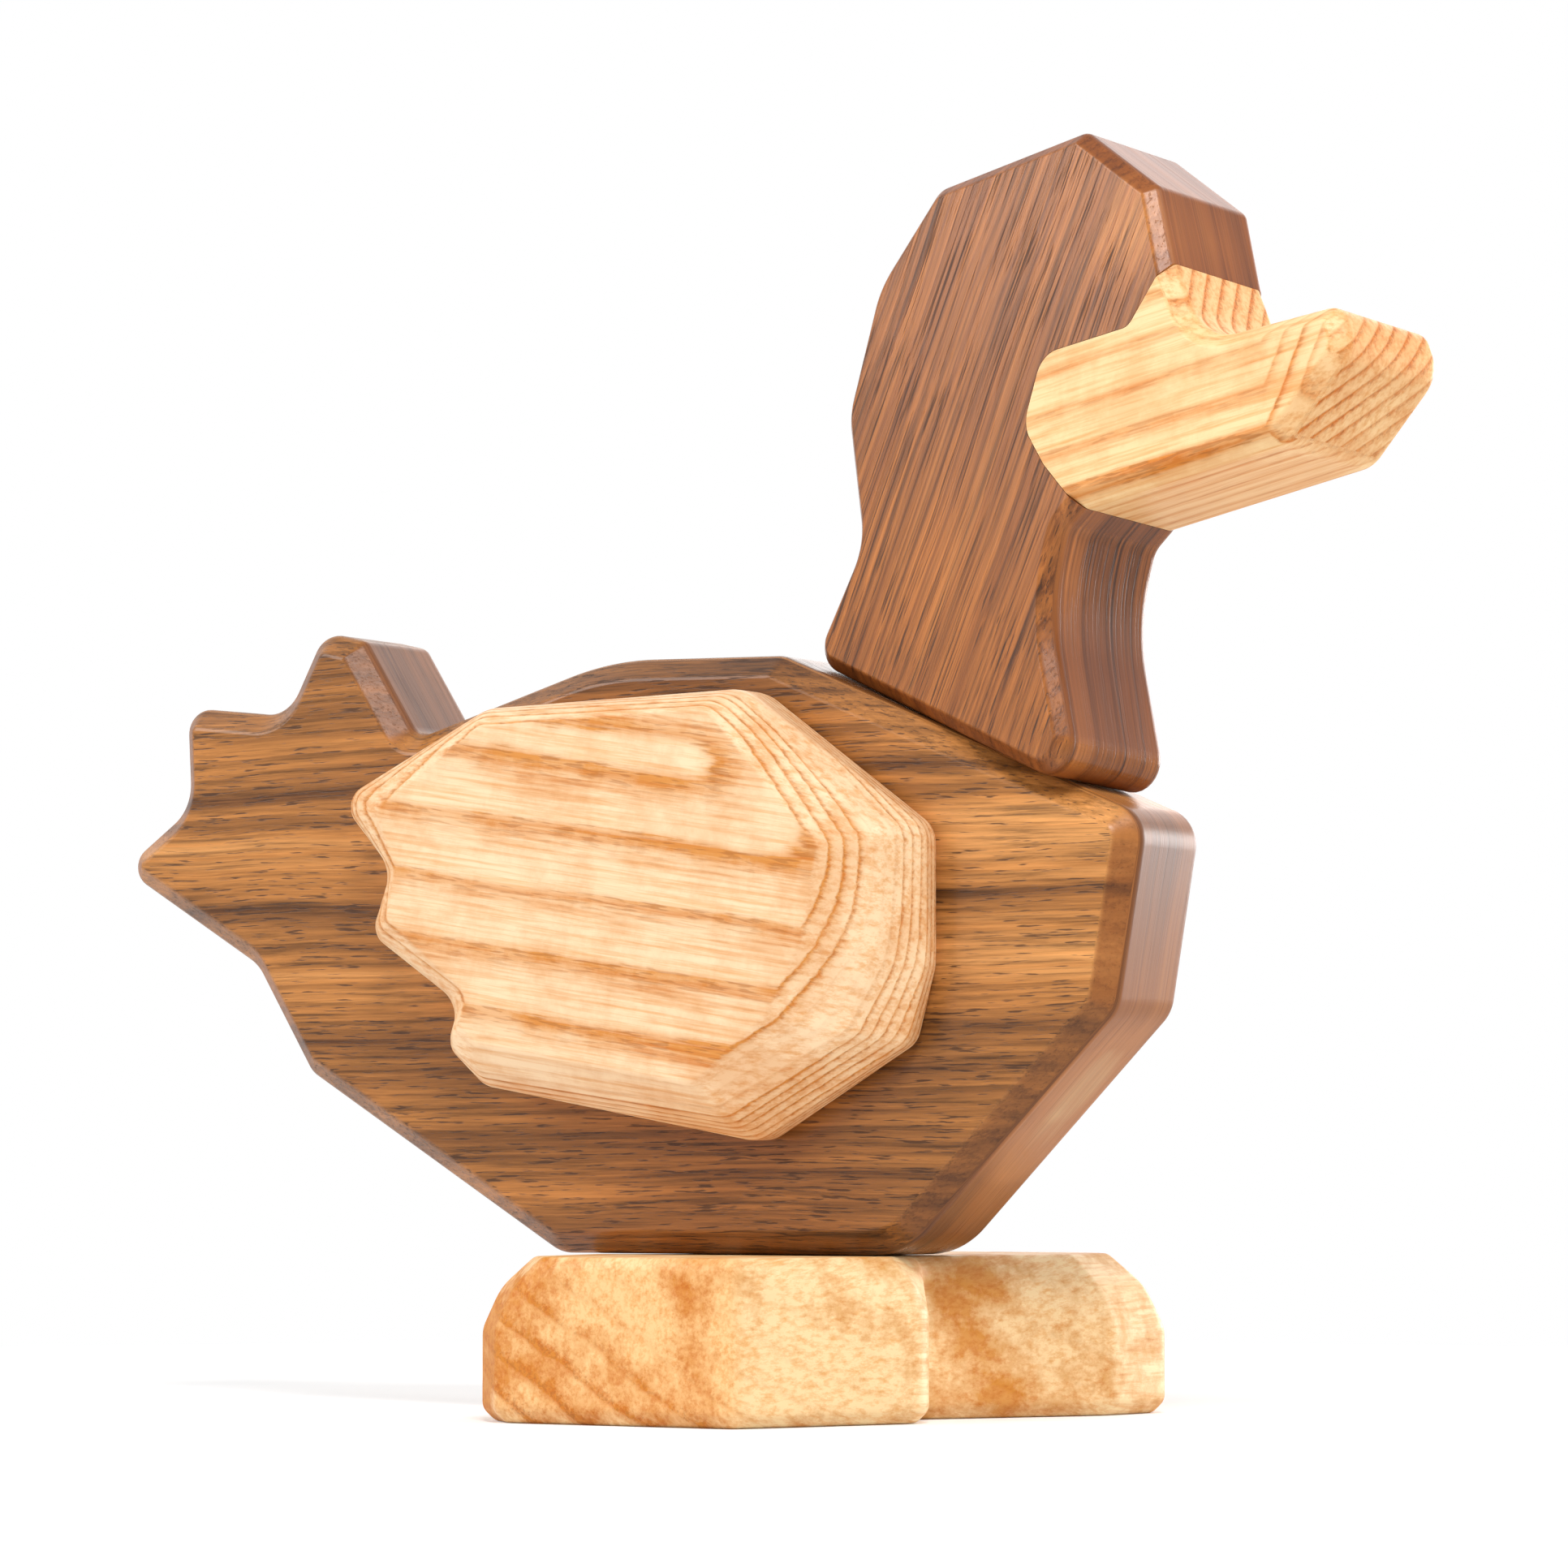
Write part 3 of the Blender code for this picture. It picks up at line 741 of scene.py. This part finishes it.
# Patches of the head: darker down the front of the neck, partly darker wood and partly painted shade under
# the beak; painted light on the brow and the top of the head, and a painted highlight on the forehead
# chamfer of the near side; and lighter wood low on the nape
HEAD_TONE_AND_LIGHT_PATCHES = [
    # Painted shade under the beak, over darker wood
    ((17, 0, 0), (19, 10, 6), -0.2),
    # Painted light on the brow and the top of the head
    ((61, 0, 0), (9, 14, 8), 0.4),
    # Painted highlight on the forehead chamfer of the near side
    ((60, -8.5, -1), (9, 4, 6), 0.5),
    ((18, 0, 14), (16, 60, 12), 0.18),
]
# Colours of walnut, from dark to light heartwood and sapwood, and the tones they stand for. The palest tones
# also colour the painted light round the breast.
TONES_AT = (0.0, 0.3, 0.6, 1.0, 1.2, 1.6)
WALNUT_TONES = ("#55331b", "#8c5a2e", "#b6783e", "#d59556", "#d59556", "#efc998")
RED_WALNUT_TONES = ("#563119", "#895027", "#ac6933", "#c68145", "#c68145", "#e0b584")

# Materials: each piece was cut from its own board, so each has its own grain
lying = Matrix()
upright = Matrix.Rotation(-math.radians(90), 4, "Y")
BODY_STREAK, BODY_PORE, BODY_LINE = (0.035, 1.5, 1.5), (0.24, 3.8, 3.8), (2.3, 0.14)
HEAD_STREAK, HEAD_PORE, HEAD_LINE = (0.008, 1.7, 1.7), (0.05, 3.6, 3.6), (1.6, 0.26)
body_walnut = oiled_walnut("oiled_walnut_body", *grain_frame(body_place, lying), BODY_STREAK, BODY_PORE,
                           BODY_LINE, 11.0, WALNUT_TONES, BODY_BANDS, BODY_TONE_AND_LIGHT_PATCHES)
head_walnut = oiled_walnut("oiled_walnut_head", *grain_frame(head_place, upright), HEAD_STREAK, HEAD_PORE,
                           HEAD_LINE, 31.0, RED_WALNUT_TONES, HEAD_BANDS, HEAD_TONE_AND_LIGHT_PATCHES)
cover_walnut = oiled_walnut("oiled_walnut_cover", *grain_frame(body_place, lying), BODY_STREAK, BODY_PORE,
                            BODY_LINE, 57.0, WALNUT_TONES, BODY_BANDS, [])

# The wings' rings lie like shells round a heart near the upper edge of the crown. Between
# the strong years of the crown and those along the edge lie a few pale ones.
right_wing_place = Matrix.Translation((wing_x, -WING_BASE, BELLY_HEIGHT + wing_z))
left_wing_place = Matrix.Translation((wing_x, WING_BASE, BELLY_HEIGHT + wing_z))
WING_GRAIN_TILT = 9.0
WING_GRAIN = Matrix.Rotation(math.radians(WING_GRAIN_TILT), 4, "Y")
WING_HEART = (7.0, 0.0, 13.0)
WING_SHELLS = (0.064, 0.0, 0.1086)
WING_RING = 0.8
WING_YEARS = [(-10.5, 0.95), (-6.0, 0.95), (-5.6, 0.1), (-4.1, 0.1), (-3.5, 0.9), (3, 0.9)]
WING_TONES = ("#f9dab2", "#d68e42")


def wing_ash(name, place, side, wander, seed):
    """Ash for a wing on one side of the body, darker orange in patches along the crown's front edge and low
    towards its front.
    """
    return oiled_ash(name, *grain_frame(place, WING_GRAIN), layers=(0.0, -side, 0.0), heart=WING_HEART,
                     bend=WING_SHELLS, ring=WING_RING, phase=-0.148, fray=0.45, wander=wander,
                     years=WING_YEARS, seed=seed, tones=WING_TONES, end_tint="#fdf5ea", blotch=0.35,
                     patches=[((27.5, 9 * side, 0), (3.5, 6, 14), 0.3),
                              ((18, 9 * side, -21), (9, 6, 4), 0.3)])


right_wing_ash = wing_ash("oiled_ash_right_wing", right_wing_place, -1, 0.2, 3.0)
left_wing_ash = wing_ash("oiled_ash_left_wing", left_wing_place, 1, 0.35, 23.0)
# The beak's rings turn up towards its tip, and one year near its lower edge is strong
BEAK_GRAIN_TILT = 31.0
beak_grain = Matrix.Rotation(-math.radians(BEAK_GRAIN_TILT), 4, "Y")
beak_ash = oiled_ash("oiled_ash_beak", *grain_frame(head_place, beak_grain), layers=(0.0, -1.87, -1.0),
                     heart=(48.0, 0.0, 0.0), bend=(1.7, 0.0, 0.0), ring=4.8, phase=0.12, fray=0.3,
                     wander=1.2, seed=41.0, tones=("#f9d59e", "#d98633"), end_tint="#fdeee0", blotch=0.3,
                     front_layers=(-1.7, 1.87, -1.8),
                     years=[(-180, 0.3), (-158, 0.3), (-148, 1.0), (-90, 1.0), (-60, 0.5), (-8.5, 0.5),
                            (-6.5, 0.85), (-3.5, 0.85), (-1.5, 0.55), (20, 0.55)],
                     patches=[((35, 0, 21), (26, 12, 5), 0.4), ((37, 0, 41), (9, 14, 9), -0.4)])
NO_HEART, NO_SHELLS = (0.0, 0.0, 0.0), (0.0, 0.0, 0.0)
feet_grain = Matrix.Rotation(math.radians(90), 4, "Z")
feet_ash = oiled_ash("oiled_ash_feet", *grain_frame(Matrix(), feet_grain), layers=(0.1, -0.5, 0.75),
                     heart=NO_HEART, bend=NO_SHELLS, ring=3.6, phase=0.0, fray=0.4, wander=4.0,
                     seed=67.0, tones=("#fde1af", "#d8953f"), end_tint="#fae6d0", blotch=0.9,
                     years=[(-15, 0.85), (0, 0.85), (6, 0.25), (12, 0.12), (30, 0.12)],
                     patches=[((-31, 24, 9), (10, 8, 16), 0.35), ((-31, 15, 15), (8, 6, 7), 0.12),
                              ((-31, 1, 15), (10, 8, 8), -0.25), ((-31, -8, 14), (8, 6, 9), 0.14),
                              ((-20, -19, 9), (14, 12, 14), -0.12), ((6, -22, 14), (7, 6, 6), 0.12),
                              ((11, -25, 9), (12, 12, 12), 0.02)])
cover_ash = oiled_ash("oiled_ash_cover", *grain_frame(Matrix(), lying), layers=(0.0, 0.3, 0.9),
                      heart=NO_HEART, bend=NO_SHELLS, ring=2.0, phase=0.0, fray=0.4, wander=1.5,
                      years=[(-10, 0.7), (10, 0.7)], seed=83.0, tones=WING_TONES, end_tint="#f7ecf6",
                      blotch=0.1)
nickel = nickel_plate()

# Body board, whose seat for the head and belly lie a little closer than in the solid
seat_edge, belly_edge = BODY_OUTLINE.index(BREAST), len(BODY_OUTLINE) - 1
closer = [-SEAT_CLOSER if edge in (seat_edge, belly_edge) else 0.0 for edge in range(len(BODY_OUTLINE))]
body_shape = board(inset(body_outline, closer), [BODY_CHAMFER] * len(body_outline), BODY_CHAMFER,
                   BODY_SANDING)
body_pockets = [
    ((wing_x, -HALF_BOARD, wing_z), (0, -1, 0)),
    ((wing_x, HALF_BOARD, wing_z), (0, 1, 0)),
    (seat_pivot, seat_up),
    ((0, 0, 0), (0, 0, -1)),
]
wooden("body_board", body_shape, body_place, body_pockets, body_walnut, "body", "body")

# Head board and beak, which meet at a glue line
outline, beak_outline = stretch(HEAD_LENGTH, HEAD_HEIGHT, INLAY + CROWN + NECK, INLAY[::-1] + BILL)
inlaid = len(INLAY) - 1
free = len(outline) - inlaid
base_edge = len(INLAY + CROWN) + 1
closer = [-SEAT_CLOSER if edge == base_edge else 0.0 for edge in range(len(outline))]
head_shape = board(inset(outline, closer), [0.0] * inlaid + [HEAD_CHAMFER] * free, HEAD_CHAMFER,
                   HEAD_SANDING)
wooden("head_board", head_shape, head_place, [((0, 0, 0), (0, 0, -1))], head_walnut, "head", "head")
free = len(beak_outline) - inlaid
beak_corners = inset(beak_outline, [GLUE_LINE] * inlaid + [0.0] * free)
beak_shape = board(beak_corners, [0.0] * inlaid + [BEAK_CHAMFER] * free, BEAK_CHAMFER, HEAD_SANDING)
wooden("inlaid_beak", beak_shape, head_place, [], beak_ash, "head", "beak")

# Wings
(wing_outline,) = stretch(WING_LENGTH, WING_HEIGHT, WING_SHAPE)
for side, place, material, node in ((-1, right_wing_place, right_wing_ash, "right_wing"),
                                    (1, left_wing_place, left_wing_ash, "left_wing")):
    rings, borders = carved(wing_outline, -SEAT_CLOSER, WING_THICKNESS, WING_EDGE, WING_SANDING)
    standing = [[Vector((x, side * up, z)) for x, z, up in ring] for ring in rings]
    wooden("carved_" + node, loft(standing, borders), place, [((0, 0, 0), (0, -side, 0))], material,
           node, node)

# Feet
(feet_outline,) = stretch(FEET_LENGTH, FEET_WIDTH, FEET_SHAPE)
feet_shape = loft(*carved(feet_outline, 0.0, FEET_HEIGHT + SEAT_CLOSER, FEET_EDGE, FEET_SANDING))
wooden("webbed_feet", feet_shape, Matrix(), [((0, 0, FEET_HEIGHT), (0, 0, 1))], feet_ash, "feet",
       "feet")

# Magnets and covers keep their solids
for node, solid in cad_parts.items():
    if node.endswith("_magnet"):
        material = nickel
    elif node.endswith("_cover"):
        material = cover_ash if "wing" in node or "feet" in node else cover_walnut
    else:
        continue
    solid.data.materials.clear()
    solid.data.materials.append(material)

# Camera at the photograph's viewing angle
CAMERA_PLACE = (344.45, -551.23, 27.70)
CAMERA_PITCH = 4.018
CAMERA_TURN = 32.0
SENSOR = 36.0
LENS = 128.385
CLIP_START, CLIP_END = 0.01, 100.0
camera_data = bpy.data.cameras.new("camera")
camera_data.sensor_width = SENSOR
camera_data.lens = LENS
camera_data.clip_start = CLIP_START
camera_data.clip_end = CLIP_END
camera = bpy.data.objects.new("camera", camera_data)
camera.location = Vector(CAMERA_PLACE) * MM
camera.rotation_euler = (math.radians(90 + CAMERA_PITCH), 0.0, math.radians(CAMERA_TURN))
bpy.context.collection.objects.link(camera)
bpy.context.scene.camera = camera

# Floor: white paper, seen as plain white by the camera except where a shadow lies. It is
# lifted a little where it is seen, and turns plain white between two distances, in metres.
FLOOR_HALF = 6.0
FLOOR_LIFT = 0.16
FLOOR_TURNS, FLOOR_TURNED = 0.13, 0.3
floor_mesh = bpy.data.meshes.new("floor")
floor_mesh.from_pydata([(-FLOOR_HALF, -FLOOR_HALF, 0), (FLOOR_HALF, -FLOOR_HALF, 0),
                        (FLOOR_HALF, FLOOR_HALF, 0), (-FLOOR_HALF, FLOOR_HALF, 0)], [], [(0, 1, 2, 3)])
floor = bpy.data.objects.new("floor", floor_mesh)
bpy.context.collection.objects.link(floor)
paper = bpy.data.materials.new("white_paper_floor")
paper.use_nodes = True
tree = paper.node_tree
tree.nodes.clear()
seen = seen_white(tree)
sheet = add(tree, "ShaderNodeBsdfDiffuse", {"Color": linear("#f4f4f4")}).outputs[0]
lift = add(tree, "ShaderNodeMath", {0: seen, 1: FLOOR_LIFT}, operation="MULTIPLY").outputs[0]
glow = add(tree, "ShaderNodeEmission", {"Color": grey(1.0), "Strength": lift}).outputs[0]
near = add(tree, "ShaderNodeAddShader", {0: sheet, 1: glow}).outputs[0]
spot = add(tree, "ShaderNodeTexCoord").outputs["Object"]
away = add(tree, "ShaderNodeVectorMath", {0: spot}, operation="LENGTH").outputs["Value"]
far = add(tree, "ShaderNodeMapRange", {"Value": away, "From Min": FLOOR_TURNS,
                                       "From Max": FLOOR_TURNED}).outputs[0]
blank = add(tree, "ShaderNodeMath", {0: far, 1: seen}, operation="MULTIPLY").outputs[0]
white = add(tree, "ShaderNodeEmission", {"Color": grey(1.0), "Strength": 1.0}).outputs[0]
both = add(tree, "ShaderNodeMixShader", {0: blank, 1: near, 2: white}).outputs[0]
add(tree, "ShaderNodeOutputMaterial", {"Surface": both})
floor_mesh.materials.append(paper)

# World: plain white where it is seen, a soft grey fill where it lights the wood
FILL = 0.22
world = bpy.data.worlds.new("studio")
bpy.context.scene.world = world
world.use_nodes = True
tree = world.node_tree
tree.nodes.clear()
strength = add(tree, "ShaderNodeMapRange", {"Value": seen_white(tree), "To Min": FILL}).outputs[0]
glow = add(tree, "ShaderNodeBackground", {"Color": grey(1.0), "Strength": strength}).outputs[0]
add(tree, "ShaderNodeOutputWorld", {"Surface": glow})

DUCK_MIDDLE = Vector((0.0, 0.0, 0.07))


def softbox(name, place, size, power):
    """A square studio light that points at the middle of the duck."""
    data = bpy.data.lights.new(name, "AREA")
    data.shape = "SQUARE"
    data.size = size
    data.energy = power
    lamp = bpy.data.objects.new(name, data)
    lamp.location = place
    lamp.rotation_euler = (DUCK_MIDDLE - lamp.location).to_track_quat("-Z", "Y").to_euler()
    bpy.context.collection.objects.link(lamp)


softbox("key_upper_left", (-0.7, -0.7, 0.76), 0.7, 8.0)
softbox("upper_right", (0.51, -0.62, 0.9), 0.3, 7.5)
softbox("ahead", (1.0, 0.1, 1.0), 0.6, 4.0)
softbox("behind_right", (0.5, 1.15, 0.05), 0.7, 17.0)
softbox("above_behind", (-0.15, 1.1, 0.62), 1.0, 5.0)

bpy.context.scene.view_settings.view_transform = "Standard"
